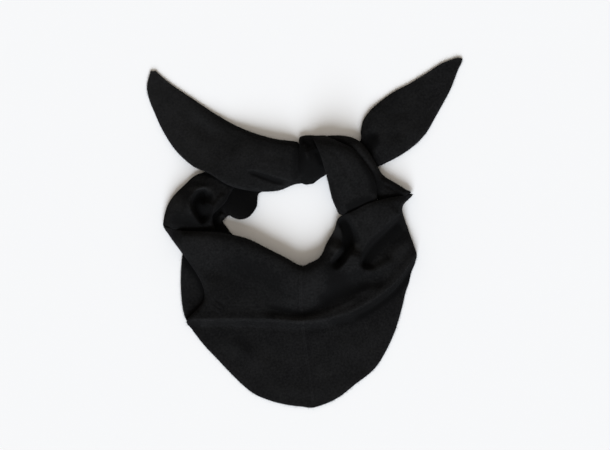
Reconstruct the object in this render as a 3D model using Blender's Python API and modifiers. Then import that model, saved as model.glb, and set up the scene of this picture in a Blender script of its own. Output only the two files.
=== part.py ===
# Triangle scarf in felted wool, its two tips tied in one knot, laid flat.
# The tables are in millimetres, the meshes in metres. +X is to the right, +Y from the bib to the knot, and
# +Z up from the surface that it lies on. The origin is the middle of its footprint, on that surface.
import math

import bmesh
import bpy
import numpy as np

MM = 0.001
COLLECTION = "triangle scarf"
MIDDLE = (-0.968, -1.0, 0.0)  # middle of the footprint, in the tables' millimetres

WALL = 2.0           # felted cloth, one layer
SEAM_GAP = 0.3       # between the two halves along the middle seam
ROW_SPACING = 8.0    # of the mesh, along a strip
LINE_STEPS = 28      # steps along the line of a fold
LEVEL = 400.0        # a side of a fold this wide is a level shelf
CURVE_LIMIT = 1.6    # how much steeper than its flatter neighbour a curve may run through a knot

NECK_ROLL = 8.0      # width of the roll at the bib's neck edge
FOLD_ROLL = 9.0      # and at the bib's two side folds
STRIP_ROLL = 9.0     # and at the long edges of the other stretches
FOLD_EDGE_Z = 4.8    # top of the bib's side folds, over the layer below
HOLLOW_FLOOR = 5.5   # no hollow reaches lower than this over the hidden layers
SWELL_AT_EDGE = 0.6  # share of a strip's crown that its rolls reach, the rest swells to the middle
EDGE_CROWDING = 0.65  # how much closer the mesh columns lie at a strip's long edges

FELT_BLACK = (0.0085, 0.0085, 0.0087, 1.0)
FELT_ROUGHNESS = 0.95

# --------------------------------------------------------------------- bib
# A row for each section. A section runs from the neck edge over the brow and the cross ridge to the hem.
BIB_COLUMNS = ("neck_x", "neck_y", "brow_x", "brow_y", "ridge_x", "ridge_y", "hem_x", "hem_y", "neck_z")
BIB_STATIONS = (0.0, 0.34, 0.50, 1.0)
BIB_ROWS = ((0.0, 0.06, 3), (0.06, 0.5, 14), (0.5, 0.56, 2), (0.56, 1.0, 7))  # from, to, cells
SEAM = (-6.0, -42.5, -6.0, -81.0, -4.0, -112.0, 11.0, -219.0, 18.0)
BIB_LEFT = (
    (-173, 4, -126, -83, -147, -109, -141, -124, 14),
    (-156, 1, -116, -81, -131, -109, -127, -142, 16),
    (-134, 0, -104, -77, -112, -109, -109, -161, 18),
    (-110, -1, -86, -74, -91, -109, -88, -183, 19),
    (-92, -4, -69, -74, -69, -109, -66, -202, 19),
    (-70, -10, -51, -76, -46, -110, -43, -212, 19),
    (-46, -22, -34, -77, -27, -111, -22, -216, 18),
    (-26, -32, -20, -79, -15, -112, -5, -218, 18),
)
BIB_RIGHT = (
    (6, -39, 9, -78, 13, -111, 36, -209, 18),
    (21, -33, 25, -72, 33, -107, 62, -191, 16),
    (31, -16, 41, -62, 54, -101, 87, -169, 12),
    (39, 0, 56, -49, 76, -90, 107, -133, 8),
    (45, 17, 70, -38, 95, -77, 118, -101, 16),
    (61, 26, 85, -26, 110, -64, 125, -76, 20),
    (79, 35, 100, -12, 121, -52, 129, -65, 20),
    (105, 42, 112, 8, 131, -38, 132, -52, 17),
    (129, 43, 119, 22, 136, -25, 135, -40, 12),
)

# --------------------------------------------------------- other stretches
# A row for each section, from one long edge (a) to the other (b), with the height of the cloth's top at
# each edge and at the crown between them: a_x, a_y, b_x, b_y, a_z, crown_z, b_z.
UNDER_FOLD_LEFT = (
    (-153, -24, -132, -24, 2.0, 2.8, 3.6),
    (-155, -40, -124, -40, 2.0, 3.2, 3.9),
    (-156, -62, -114, -62, 2.0, 3.3, 4.0),
    (-155, -84, -108, -84, 2.0, 3.2, 3.8),
    (-153, -98, -111, -98, 2.0, 2.6, 3.2),
    (-151, -106, -116, -106, 2.0, 2.3, 2.6),
    (-149, -111, -122, -111, 2.0, 2.1, 2.2),
)
SHOULDER_LEFT = (
    (-126, 74, -81, 59, 4, 11.5, 7),
    (-139, 69, -88, 56, 4, 13.5, 8.5),
    (-151, 58, -94, 47, 4, 17, 11),
    (-162, 46, -100, 36, 4, 20, 13),
    (-170, 34, -109, 27, 4, 22, 15),
    (-174, 23, -115, 21, 4, 21, 14),
    (-176, 13, -116, 13, 3, 17, 11),
    (-175, 7, -114, 6, 2.1, 9, 9),
    (-163, -3, -111, -2, 2.1, 6, 9),
    (-152, -10, -107, -8, 2.1, 6, 8),
)
NECK_LAYER_LEFT = (
    (-45, 61, -54, 50, 5, 5, 5),
    (-61, 59, -62, 46, 5, 5.6, 4),
    (-74, 59, -64, 33, 5, 6, 9),
    (-86, 58, -71, 20, 5, 6, 13),
    (-95, 56, -79, 15, 5, 6, 13),
    (-104, 52, -88, 17, 5, 5, 11),
    (-112, 46, -95, 21, 5, 5, 7),
    (-113, 38, -100, 18, 5, 5, 4),
    (-116, 26, -103, 12, 5, 5, 4),
    (-119, 13, -99, 6, 5, 5, 4),
    (-117, 2, -94, -1, 5, 5, 4),
    (-114, -9, -89, -7, 5, 5, 4),
)
TAIL_LEFT = (
    (-191, 199, -196, 197, 2, 2, 2),
    (-178, 190, -198, 182, 2, 2, 2),
    (-160, 178, -196, 167, 2, 3, 2),
    (-139, 164, -189, 149, 2, 4.5, 2),
    (-115, 148, -179, 127, 2.5, 7, 3),
    (-91, 134, -163, 102, 3.5, 10.5, 5),
    (-69, 124, -141, 83, 5, 14.5, 10.5),
    (-51, 117, -120, 72, 6, 18, 16),
    (-36, 112, -95, 57, 6, 19.5, 15),
    (-24, 110, -66, 50, 6, 19.5, 11),
    (-15, 109, -35, 52, 6, 18, 8),
    (-9, 107, -15, 60, 6, 13, 5),
    (-4.5, 100, -2.3, 62, 8, 11.6, 3.6),
)
TAIL_RIGHT = (
    (64, 101, 83, 77, 6.5, 7.8, 6.2),
    (69, 114, 100, 85, 7.5, 9.8, 5.6),
    (69, 125, 119, 95, 6, 11, 5),
    (72, 138, 137, 108, 4.5, 9, 4),
    (80, 150, 151, 123, 3.5, 8, 3),
    (93, 162, 162, 142, 2, 5.5, 2),
    (110, 174, 172, 160, 2, 4, 2),
    (129, 184, 181, 177, 2, 3, 2),
    (149, 196, 186, 190, 2, 2, 2),
    (169, 209, 191, 203, 2, 2, 2),
    (184, 215, 195, 211, 2, 2, 2),
    (191, 217, 196, 215, 2, 2, 2),
)
KNOT_WRAP = (
    (1, 118.5, 6.5, 118.5, 4, 5, 5),
    (-5, 115.5, 7, 116, 9, 10, 8.5),
    (-8.5, 112, 8.5, 112.5, 12, 14, 12),
    (-10, 107, 14, 107, 14.5, 18, 15.5),
    (-10.5, 97, 24, 100, 16.5, 21.5, 19.5),
    (-10.5, 84, 30, 88, 16.5, 22, 21),
    (-9, 73, 31, 79, 14.5, 18, 17.5),
    (-5, 65, 26, 72, 11.5, 13.5, 10.5),
    (0, 61, 17, 66, 7.5, 8.5, 6.5),
    (3, 60, 10, 61.5, 4.5, 4.5, 4.5),
)
KNOT_FOLD_RIGHT = (
    (25, 110, 27.5, 118.5, 8, 8.5, 4.5),
    (39, 107, 42, 118, 12, 13, 5),
    (50, 102, 57, 116, 13, 17.5, 9),
    (60, 93, 70, 110, 12, 20, 11),
    (69, 83, 81, 96, 11.5, 19.5, 10),
    (76, 73, 91, 82, 11.5, 18, 9),
    (80, 62, 98, 70, 9.5, 16, 6),
    (82, 51, 111, 61, 8.5, 15.5, 5),
    (89, 42, 124, 53, 8.5, 15.5, 5),
    (94, 35, 131, 47, 7.5, 10.5, 4),
    (94, 27, 112, 33, 5, 7.5, 5),
)
KNOT_BAND = (
    (7.5, 118.5, 25, 118.3, 5, 6.5, 6),
    (8.5, 115.5, 30, 116, 16, 19, 14),
    (12.5, 109, 44, 110.5, 20.5, 24.5, 17.5),
    (18, 96, 59, 103, 24, 28, 19.5),
    (24, 81, 70, 91, 24, 29, 19.5),
    (30, 67, 78, 81, 20.5, 28, 19),
    (34, 53, 84, 70, 12.5, 26.5, 17.5),
    (37, 41, 88, 58, 10, 23.5, 15.5),
    (42, 28, 89, 46, 8.5, 20.5, 15.5),
    (46, 21, 90, 38, 8, 16, 13.5),
    (55, 20, 92, 30, 7, 11.5, 10),
)

# ------------------------------------------------------------------- folds
# A row for each fold: its name, its line, its height (up for a ridge, down for a trough), the widths of its
# right and left sides seen along the line, and the length over which it dies out at each end.
RIDGE_LINE = tuple(row[4:6] for row in BIB_LEFT + (SEAM,) + BIB_RIGHT)
SHELF = ("shelf above the ridge", RIDGE_LINE, 9.0, 11.5, LEVEL, 0)
BIB_FOLDS = (
    SHELF,
    ("cross ridge", RIDGE_LINE, 3.2, 8, 12, 4),
    ("middle valley", ((-62, -94), (-31, -100), (-4, -102), (21, -93), (50, -79), (79, -67)), -7.0, 9, 16, 26),
    ("neck roll", ((-165, -8), (-110, -12), (-75, -22), (-48, -34), (-8, -54), (14, -51), (34, -38), (48, -12)),
     13.0, 45, 30, 14),
    ("right shoulder", ((48, 12), (64, 20), (96, 34), (126, 40)), 12.0, 44, 30, 12),
    ("inner valley", ((43, 19), (52, 4), (54, -14), (46, -31), (32, -47)), -13.0, 10, 9, 14),
    ("wedge crest", ((120, 27), (95, 4), (76, -14), (67, -33), (70, -54)), 5.0, 26, 5, 12),
    ("wedge valley", ((121, 15), (102, -5), (83, -24), (70, -46)), -8.0, 7, 28, 10),
    ("low shelf", ((70, -54), (95, -44), (114, -34)), 3.0, 9, 9, 12),
    ("low trough", ((14, -86), (34, -74), (58, -65), (84, -61), (102, -56)), -4.0, 14, 15, 16),
)
SHOULDER_FOLDS = (
    ("outer hollow", ((-120, 50), (-132, 47), (-138, 36), (-135, 24), (-125, 9)), -13.0, 6, 23, 10),
    ("top of the hollow", ((-134, 42), (-124, 43), (-113, 46)), -5.0, 13, 7, 8),
)
NECK_LAYER_FOLDS = (
    ("lip", ((-102, 24), (-107, 16), (-106, 6)), 4.0, 5, 5, 5),
)
TAIL_LEFT_FOLDS = (
    ("lower lip", ((-78, 76), (-54, 70), (-30, 62), (-12, 60)), -4.0, 60, 4, 22),
)
TAIL_RIGHT_FOLDS = (
    ("base hollow", ((66, 82), (76, 100), (80, 114), (88, 132)), -4.0, 12, 9, 14),
)
KNOT_WRAP_FOLDS = (
    ("streak", ((0, 103), (2, 95), (5, 86)), 1.5, 5, 5, 6),
)

# A row for each stretch: its node, its sections, its folds, the mesh cells across it, and the widths of the
# rolls at its a and b edges.
STRIPS = (
    ("under_fold_left", UNDER_FOLD_LEFT, (), 6, STRIP_ROLL, STRIP_ROLL),
    ("neck_layer_left", NECK_LAYER_LEFT, NECK_LAYER_FOLDS, 7, STRIP_ROLL, STRIP_ROLL),
    ("shoulder_left", SHOULDER_LEFT, SHOULDER_FOLDS, 16, 28.0, 4.0),
    ("tail_left", TAIL_LEFT, TAIL_LEFT_FOLDS, 12, STRIP_ROLL, STRIP_ROLL),
    ("tail_right", TAIL_RIGHT, TAIL_RIGHT_FOLDS, 10, STRIP_ROLL, STRIP_ROLL),
    ("knot_wrap", KNOT_WRAP, KNOT_WRAP_FOLDS, 10, STRIP_ROLL, STRIP_ROLL),
    ("knot_fold_right", KNOT_FOLD_RIGHT, (), 8, STRIP_ROLL, STRIP_ROLL),
    ("knot_band", KNOT_BAND, (), 12, STRIP_ROLL, STRIP_ROLL),
)

# ----------------------------------------------------------- hidden layers
# A row for each section round the neck ring, from its inner to its outer edge: in_x, in_y, out_x, out_y,
# height.
HIDDEN_SECTIONS = 48
HIDDEN_LAYERS = (
    (8, 80, 10, 104, 8),
    (26, 77, 30, 102, 9),
    (42, 58, 52, 97, 11),
    (46, 44, 74, 80, 11),
    (52, 30, 82, 50, 7),
    (53, 14, 92, 24, 2.6),
    (48, -8, 104, -12, 2.6),
    (36, -31, 92, -44, 2.6),
    (14, -50, 28, -78, 8),
    (-8, -54, -8, -80, 11),
    (-44, -38, -56, -74, 10),
    (-84, -18, -103, -58, 9),
    (-98, -12, -118, -30, 3),
    (-112, 12, -150, 14, 2),
    (-84, 38, -138, 54, 2),
    (-66, 61, -112, 84, 2.2),
    (-44, 64, -62, 104, 6.5),
    (-18, 66, -20, 98, 7.5),
)
# Round a section, with a step for each layer at its edges: the share of its width, and of its height.
LAYERED_PROFILE = (
    (0.00, 0.00), (-0.02, 0.16), (0.00, 0.30), (0.03, 0.36), (0.02, 0.50), (0.05, 0.68), (0.14, 0.80),
    (0.32, 0.96), (0.50, 1.00), (0.68, 0.96), (0.86, 0.80), (0.95, 0.68), (0.98, 0.50), (0.97, 0.36),
    (1.00, 0.30), (1.02, 0.16), (1.00, 0.00), (0.66, 0.00), (0.33, 0.00),
)


def between(knots, values, places):
    """Smooth curve through the values at the knots, read at the places."""
    knots = np.asarray(knots, float)
    values = np.asarray(values, float)
    steps = np.diff(knots)
    slopes = np.diff(values, axis=0) / steps[:, None]
    inner = (slopes[:-1] * steps[1:, None] + slopes[1:] * steps[:-1, None]) / (steps[:-1] + steps[1:])[:, None]
    steepness = np.linalg.norm(slopes, axis=1)
    allowed = CURVE_LIMIT * np.minimum(steepness[:-1], steepness[1:])
    excess = np.linalg.norm(inner, axis=1) / np.maximum(allowed, 1e-9)
    inner = inner / np.maximum(excess, 1.0)[:, None]
    tangents = np.vstack([slopes[:1], inner, slopes[-1:]])
    cell = np.clip(np.searchsorted(knots, places, side="right") - 1, 0, len(steps) - 1)
    t = ((places - knots[cell]) / steps[cell])[:, None]
    leaving = tangents[cell] * steps[cell][:, None]
    arriving = tangents[cell + 1] * steps[cell][:, None]
    return ((2 * t ** 3 - 3 * t ** 2 + 1) * values[cell] + (t ** 3 - 2 * t ** 2 + t) * leaving
            + (3 * t ** 2 - 2 * t ** 3) * values[cell + 1] + (t ** 3 - t ** 2) * arriving)


def sections_between(table, count):
    """The table's rows, joined by smooth curves, as count evenly spread sections."""
    return between(np.arange(len(table)), table, np.linspace(0, len(table) - 1, count))


def fold_relief(points, folds):
    """Height that the folds add at each point, from its distance to each fold's line."""
    total = np.zeros(len(points))
    for _name, line, height, right_w, left_w, fade in folds:
        run = sections_between(np.asarray(line, float), LINE_STEPS)
        step = np.diff(run, axis=0)
        length = np.linalg.norm(step, axis=1)
        away = points[:, None, :] - run[None, :-1, :]
        share = np.clip((away * step).sum(axis=2) / length ** 2, 0, 1)
        away = away - share[:, :, None] * step
        nearest = np.linalg.norm(away, axis=2).argmin(axis=1)
        each = np.arange(len(points))
        away = away[each, nearest]
        forward = step[nearest]
        on_left = forward[:, 0] * away[:, 1] - forward[:, 1] * away[:, 0] > 0
        reach = np.linalg.norm(away, axis=1) / np.where(on_left, left_w, right_w)
        shape = 0.5 + 0.5 * np.cos(math.pi * np.clip(reach, 0, 1))
        if fade:
            along = (np.cumsum(length) - length)[nearest] + share[each, nearest] * length[nearest]
            to_end = np.minimum(along, length.sum() - along)
            shape = shape * np.clip(to_end / fade, 0, 1)
        total += height * shape
    return total


def roll(distance, width):
    """Quarter of a circle, from 0 at an edge to 1 at the roll's width."""
    share = np.clip(distance / width, 0, 1)
    return np.sqrt(1 - (1 - share) ** 2)


def crowded_at_edges(cells):
    """Places from 0 to 1, closer together at both ends."""
    even = np.linspace(0, 1, cells + 1)
    return (1 - EDGE_CROWDING) * even + EDGE_CROWDING * (0.5 - 0.5 * np.cos(math.pi * even))


def felt():
    material = bpy.data.materials.new("black felted wool")
    material.use_nodes = True
    shader = material.node_tree.nodes["Principled BSDF"]
    shader.inputs["Base Color"].default_value = FELT_BLACK
    shader.inputs["Roughness"].default_value = FELT_ROUGHNESS
    shader.inputs["Metallic"].default_value = 0.0
    return material


def grid_on(surface):
    """A grid of faces laid on the surface's points, which are rows by columns, in millimetres."""
    rows, columns = surface.shape[:2]
    bm = bmesh.new()
    bmesh.ops.create_grid(bm, x_segments=columns - 1, y_segments=rows - 1, size=0.5)
    for vert in bm.verts:
        column = round((vert.co.x + 0.5) * (columns - 1))
        row = round((vert.co.y + 0.5) * (rows - 1))
        vert.co = (surface[row, column] - MIDDLE) * MM
    return bm


def add_object(name, bm, collection):
    mesh = bpy.data.meshes.new(name)
    bm.to_mesh(mesh)
    bm.free()
    mesh.materials.append(felt())
    mesh.shade_smooth()
    made = bpy.data.objects.new(name, mesh)
    collection.objects.link(made)
    return made


def cloth(name, surface, collection):
    """A stretch of cloth, whose top side lies on the surface."""
    bm = grid_on(surface)
    bmesh.ops.recalc_face_normals(bm, faces=bm.faces)
    if sum(face.normal.z for face in bm.faces) < 0:
        bmesh.ops.reverse_faces(bm, faces=bm.faces)
    made = add_object(name, bm, collection)
    wall = made.modifiers.new("wall", "SOLIDIFY")
    wall.thickness = WALL * MM
    wall.offset = -1.0


def bib(name, table, sections, side_fold, collection):
    """One half of the bib. side_fold is the index of the section that ends in a rolled side fold."""
    rows = sections_between(np.asarray(table, float), sections)
    places = [np.linspace(start, end, cells + 1)[1:] for start, end, cells in BIB_ROWS]
    places = np.concatenate([[BIB_ROWS[0][0]]] + places)
    surface = np.zeros((sections, len(places), 3))
    for index, row in enumerate(rows):
        surface[index, :, :2] = between(BIB_STATIONS, row[:8].reshape(4, 2), places)
    points = surface[:, :, :2].reshape(-1, 2)
    on_shelf = fold_relief(points, (SHELF,)) / SHELF[2]
    lowest = WALL + (HOLLOW_FLOOR - WALL) * on_shelf
    height = np.maximum(WALL + fold_relief(points, BIB_FOLDS), lowest).reshape(surface.shape[:2])
    from_neck = np.linalg.norm(surface[:, :, :2] - surface[:, :1, :2], axis=2)
    edge = np.minimum(height, rows[:, 8:])
    height = edge + (height - edge) * roll(from_neck, NECK_ROLL)
    from_fold = np.linalg.norm(surface[:, :, :2] - surface[None, side_fold, :, :2], axis=2)
    edge = np.minimum(height, FOLD_EDGE_Z)
    surface[:, :, 2] = edge + (height - edge) * roll(from_fold, FOLD_ROLL)
    cloth(name, surface, collection)


def strip(name, table, folds, cells, a_roll, b_roll, collection):
    """A stretch between two long edges, crowned between them and rolled down to each."""
    table = np.asarray(table, float)
    length = np.linalg.norm(np.diff((table[:, :2] + table[:, 2:4]) / 2, axis=0), axis=1).sum()
    rows = sections_between(table, max(round(length / ROW_SPACING), len(table)) + 1)
    places = crowded_at_edges(cells)
    surface = np.zeros((len(rows), len(places), 3))
    for index, (a_x, a_y, b_x, b_y, a_z, crown_z, b_z) in enumerate(rows):
        surface[index, :, 0] = a_x + (b_x - a_x) * places
        surface[index, :, 1] = a_y + (b_y - a_y) * places
        width = math.hypot(b_x - a_x, b_y - a_y)
        edge = a_z + (b_z - a_z) * places
        rise = np.minimum(roll(places * width, min(a_roll, width / 2)),
                          roll((1 - places) * width, min(b_roll, width / 2)))
        swell = SWELL_AT_EDGE + (1 - SWELL_AT_EDGE) * np.sin(math.pi * places)
        surface[index, :, 2] = edge + (np.maximum(edge, crown_z) - edge) * rise * swell
    relief = fold_relief(surface[:, :, :2].reshape(-1, 2), folds).reshape(surface.shape[:2])
    lowest = np.minimum(surface[:, :, 2], HOLLOW_FLOOR)
    surface[:, :, 2] = np.maximum(surface[:, :, 2] + relief, lowest)
    cloth(name, surface, collection)


def hidden_layers(name, collection):
    """What lies folded under the cloth: one solid ring round the neck hole."""
    rows = sections_between(np.asarray(HIDDEN_LAYERS + HIDDEN_LAYERS[:1], float), HIDDEN_SECTIONS + 1)
    profile = np.asarray(LAYERED_PROFILE + LAYERED_PROFILE[:1])
    surface = np.zeros((len(rows), len(profile), 3))
    for index, (in_x, in_y, out_x, out_y, height) in enumerate(rows):
        surface[index, :, 0] = in_x + (out_x - in_x) * profile[:, 0]
        surface[index, :, 1] = in_y + (out_y - in_y) * profile[:, 0]
        surface[index, :, 2] = height * profile[:, 1]
    bm = grid_on(surface)
    bmesh.ops.remove_doubles(bm, verts=bm.verts, dist=1e-6)
    bmesh.ops.recalc_face_normals(bm, faces=bm.faces)
    add_object(name, bm, collection)


def seam_section(side):
    """The section along the middle seam, moved half the seam's gap to one side."""
    return tuple(value + side * SEAM_GAP / 2 if column.endswith("_x") else value
                 for column, value in zip(BIB_COLUMNS, SEAM))


def build():
    for old in list(bpy.data.objects):
        bpy.data.objects.remove(old)
    collection = bpy.data.collections.new(COLLECTION)
    bpy.context.scene.collection.children.link(collection)
    hidden_layers("hidden_layers", collection)
    bib("bib_left", BIB_LEFT + (seam_section(-1),), 22, 0, collection)
    bib("bib_right", (seam_section(1),) + BIB_RIGHT, 34, -1, collection)
    for name, table, folds, cells, a_roll, b_roll in STRIPS:
        strip(name, table, folds, cells, a_roll, b_roll, collection)


build()
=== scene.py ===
import math
import time

import bmesh
import bpy
import numpy as np
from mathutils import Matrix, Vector, noise


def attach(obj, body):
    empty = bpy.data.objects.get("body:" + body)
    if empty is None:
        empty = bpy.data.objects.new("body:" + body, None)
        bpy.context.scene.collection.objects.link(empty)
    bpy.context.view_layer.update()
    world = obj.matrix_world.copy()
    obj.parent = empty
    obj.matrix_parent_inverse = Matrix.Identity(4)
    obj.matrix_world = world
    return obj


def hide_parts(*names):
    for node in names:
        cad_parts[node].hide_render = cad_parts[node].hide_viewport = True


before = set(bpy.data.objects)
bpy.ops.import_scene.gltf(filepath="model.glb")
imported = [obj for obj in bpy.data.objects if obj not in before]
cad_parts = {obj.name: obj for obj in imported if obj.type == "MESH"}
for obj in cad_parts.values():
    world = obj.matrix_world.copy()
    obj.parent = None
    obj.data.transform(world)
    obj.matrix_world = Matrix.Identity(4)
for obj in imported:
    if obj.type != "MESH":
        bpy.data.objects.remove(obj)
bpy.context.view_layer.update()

# Triangle scarf in felted wool, its two tips tied in one knot, laid flat and seen from straight above.
# Tables are in millimetres on the CAD model's own axes, meshes in metres.
startTime = time.time()
mm = 0.001
middle = np.array([-0.968, -1.0, 0.0])  # middle of the footprint in the tables' millimetres

cloth = {
    "wall": 2.0,          # one layer of felted knit
    "curveLimit": 1.6,    # how much a curve may steepen through a knot
    "swellAtEdge": 0.6,   # share of a strip's crown that its rolls reach
    "edgeCrowding": 0.65,  # how much a strip's cells crowd towards its long edges
    "hollowFloor": 5.5,   # lowest height of a hollow in an upper layer
    "floorShare": 0.12,   # how softly that floor is met, as a share of the room above it
    "floorSoftness": 1.0,
    "shelfSoftness": 1.2,
    "hemTaper": 14.0,     # width over which the hem comes down to one layer
    "lineSteps": 40,      # straight steps along one fold's line
    "rimRound": 0.85,     # rounding of the cut edge
    "unevenness": 0.55,   # slow rise and fall of the felt
    "unevenScale": 26.0,
    "nap": 0.10,          # small lumps of the felted face
    "napScale": 3.4,
    "napSeed": 11,        # keeps the lumps' noise apart from the slow one's
    "quietSides": 8,      # the unevenness fades in over one part in so many of the width
    "quietEnds": 12,
}


def between(knots, values, places):
    # smooth curve through the values at the knots
    knots = np.asarray(knots, float)
    values = np.asarray(values, float)
    steps = np.diff(knots)
    slopes = np.diff(values, axis=0) / steps[:, None]
    inner = slopes[:-1] * steps[1:, None] + slopes[1:] * steps[:-1, None]
    inner = inner / (steps[:-1] + steps[1:])[:, None]
    steepness = np.linalg.norm(slopes, axis=1)
    allowed = cloth["curveLimit"] * np.minimum(steepness[:-1], steepness[1:])
    excess = np.linalg.norm(inner, axis=1) / np.maximum(allowed, 1e-9)
    inner = inner / np.maximum(excess, 1.0)[:, None]
    tangents = np.vstack([slopes[:1], inner, slopes[-1:]])
    cell = np.clip(np.searchsorted(knots, places, side="right") - 1, 0, len(steps) - 1)
    t = ((places - knots[cell]) / steps[cell])[:, None]
    leaving = tangents[cell] * steps[cell][:, None]
    arriving = tangents[cell + 1] * steps[cell][:, None]
    return ((2 * t ** 3 - 3 * t ** 2 + 1) * values[cell] + (t ** 3 - 2 * t ** 2 + t) * leaving
            + (3 * t ** 2 - 2 * t ** 3) * values[cell + 1] + (t ** 3 - t ** 2) * arriving)


def sectionsAt(table, places):
    return between(np.arange(len(table)), table, places)


def foldRelief(points, folds):
    # each fold: name, line, height, width of its right side, of its left side, fade at its ends
    total = np.zeros(len(points))
    for _, line, height, rightWidth, leftWidth, fade in folds:
        run = sectionsAt(np.asarray(line, float), np.linspace(0, len(line) - 1, cloth["lineSteps"]))
        step = np.diff(run, axis=0)
        length = np.linalg.norm(step, axis=1)
        widest = max(rightWidth, leftWidth)
        low, high = run.min(axis=0) - widest, run.max(axis=0) + widest
        near = np.flatnonzero(((points > low) & (points < high)).all(axis=1))
        if not len(near):
            continue
        away = points[near, None, :] - run[None, :-1, :]
        share = np.clip((away * step).sum(axis=2) / length ** 2, 0, 1)
        away = away - share[:, :, None] * step
        nearest = np.linalg.norm(away, axis=2).argmin(axis=1)
        each = np.arange(len(near))
        away = away[each, nearest]
        forward = step[nearest]
        onLeft = forward[:, 0] * away[:, 1] - forward[:, 1] * away[:, 0] > 0
        reach = np.linalg.norm(away, axis=1) / np.where(onLeft, leftWidth, rightWidth)
        shape = 0.5 + 0.5 * np.cos(math.pi * np.clip(reach, 0, 1))
        if fade:
            along = (np.cumsum(length) - length)[nearest] + share[each, nearest] * length[nearest]
            toEnd = np.minimum(along, length.sum() - along)
            shape = shape * (0.5 - 0.5 * np.cos(math.pi * np.clip(toEnd / fade, 0, 1)))
        total[near] += height * shape
    return total


def softFloor(height, lowest, softness):
    # rounds a trough off above the lowest height instead of cutting it flat
    softness = np.maximum(softness, 1e-3)
    over = (height - lowest) / softness
    straight = 30  # so far above the floor its softness no longer tells
    rounded = np.log1p(np.exp(np.clip(over, -straight, straight)))
    return lowest + softness * rounded + np.maximum(over - straight, 0) * softness


def roll(distance, width):
    share = np.clip(distance / width, 0, 1)
    return np.sqrt(1 - (1 - share) ** 2)


def crowdedAtEdges(cells):
    even = np.linspace(0, 1, cells + 1)
    crowd = cloth["edgeCrowding"]
    return (1 - crowd) * even + crowd * (0.5 - 0.5 * np.cos(math.pi * even))


def feltLumps(surface, amount, scale, seed):
    # slow unevenness that a pressed and worn felt keeps, the same each run
    shift = Vector((seed * 7.3, seed * 3.1, seed * 1.7))
    flat = surface.reshape(-1, 3)
    lumps = [noise.noise(Vector((x / scale, y / scale, z / scale)) + shift) for x, y, z in flat]
    return amount * np.array(lumps).reshape(surface.shape[:2])


def feltFace(surface, seed):
    slow = feltLumps(surface, cloth["unevenness"], cloth["unevenScale"], seed)
    return slow + feltLumps(surface, cloth["nap"], cloth["napScale"], seed + cloth["napSeed"])


def sideOf(grid, side, inset=0):
    # one side of a grid, or the line so many cells in from it
    last = -1 - inset
    return {"start": grid[inset], "end": grid[last], "a": grid[:, inset], "b": grid[:, last]}[side]


class Wire:
    # wraps a node's socket, so that maths on it reads as plain expressions
    def __init__(self, tree, socket):
        self.tree = tree
        self.socket = socket

    def math(self, operation, other, swap=False):
        node = self.tree.nodes.new("ShaderNodeMath")
        node.operation = operation
        ends = [self, other]
        if swap:
            ends.reverse()
        for slot, end in zip(node.inputs, ends):
            if isinstance(end, Wire):
                self.tree.links.new(end.socket, slot)
            elif end is not None:
                slot.default_value = end
        return Wire(self.tree, node.outputs[0])

    def __add__(self, other):
        return self.math("ADD", other)

    def __radd__(self, other):
        return self.math("ADD", other, True)

    def __sub__(self, other):
        return self.math("SUBTRACT", other)

    def __rsub__(self, other):
        return self.math("SUBTRACT", other, True)

    def __mul__(self, other):
        return self.math("MULTIPLY", other)

    def __rmul__(self, other):
        return self.math("MULTIPLY", other, True)

    def __truediv__(self, other):
        return self.math("DIVIDE", other)

    def __pow__(self, other):
        return self.math("POWER", other)

    def sine(self):
        return self.math("SINE", None)

    def fraction(self):
        return self.math("FRACT", None)

    def size(self):
        return self.math("ABSOLUTE", None)

    def clamp(self):
        return self.math("MAXIMUM", 0.0).math("MINIMUM", 1.0)


class Maker:
    # adds a node to one material: its type, its settings, then the values or links of its sockets
    def __init__(self, material):
        self.tree = material.node_tree

    def add(self, nodeType, settings=None, out=0, **sockets):
        node = self.tree.nodes.new(nodeType)
        for key, value in (settings or {}).items():
            setattr(node, key, value)
        for key, value in sockets.items():
            slot = node.inputs[int(key[1:]) if key[1:].isdigit() else key]  # i6 is the socket numbered 6
            if isinstance(value, Wire):
                self.tree.links.new(value.socket, slot)
            else:
                slot.default_value = value
        return Wire(self.tree, node.outputs[out])


felt = {
    # the first colour is painted shade, given where little sky reaches the felt; the next two are the dark
    # and the lighter ends of its random tone, which painted light and painted shade also shift
    "hollow": (0.0030, 0.0030, 0.0031, 1.0),
    "deep": (0.0042, 0.0042, 0.0044, 1.0),
    "lighter": (0.0164, 0.0164, 0.0167, 1.0),
    "skyLow": 0.25,         # share of the light at which the painted shade makes the felt as dark as a hollow
    "skyHigh": 0.93,        # and at which the painted shade ends and the felt looks as open as the face
    "hollowFade": 1.2,
    # how far painted light and painted shade shift the felt's tone
    "paintedLightGain": 1.3,
    "rimHighlightAndWear": 0.10,         # painted highlight along a free edge, where its fuzz catches the light, and its wear, and how far in it reaches
    "rimWidth": 4.5,
    "fuzz": {"Scale": 950.0, "Detail": 3.0, "Roughness": 0.65},
    "mottle": {"Scale": 380.0, "Detail": 2.0, "Roughness": 0.6},
    "cloud": {"Scale": 42.0, "Detail": 2.0, "Roughness": 0.5},
    "fibreScale": 620.0,
    "toneShare": {"mottle": 1.2, "fuzz": 0.8, "cloud": 0.55, "knit": 0.25},
    "toneShift": 0.35,
    "knitMean": 0.4,
    "heightShare": {"knit": 0.35, "fuzz": 0.6, "mottle": 0.55, "fibre": 0.25},
    "roughnessLow": 0.83,
    "roughnessRise": 0.2,
    "specular": 0.035,
    "sheen": 0.016,
    "sheenRoughness": 0.5,
    "sheenTint": (0.86, 0.88, 0.92, 1.0),
    "waleWidth": 1.15,      # one column of fine knit under the felt
    "courseHeight": 0.95,
    "stitchLean": 0.9,
    "grooveSharpness": 3.0,
    "bumpDistance": 0.00055,
    "bumpStrength": 0.8,
}


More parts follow.
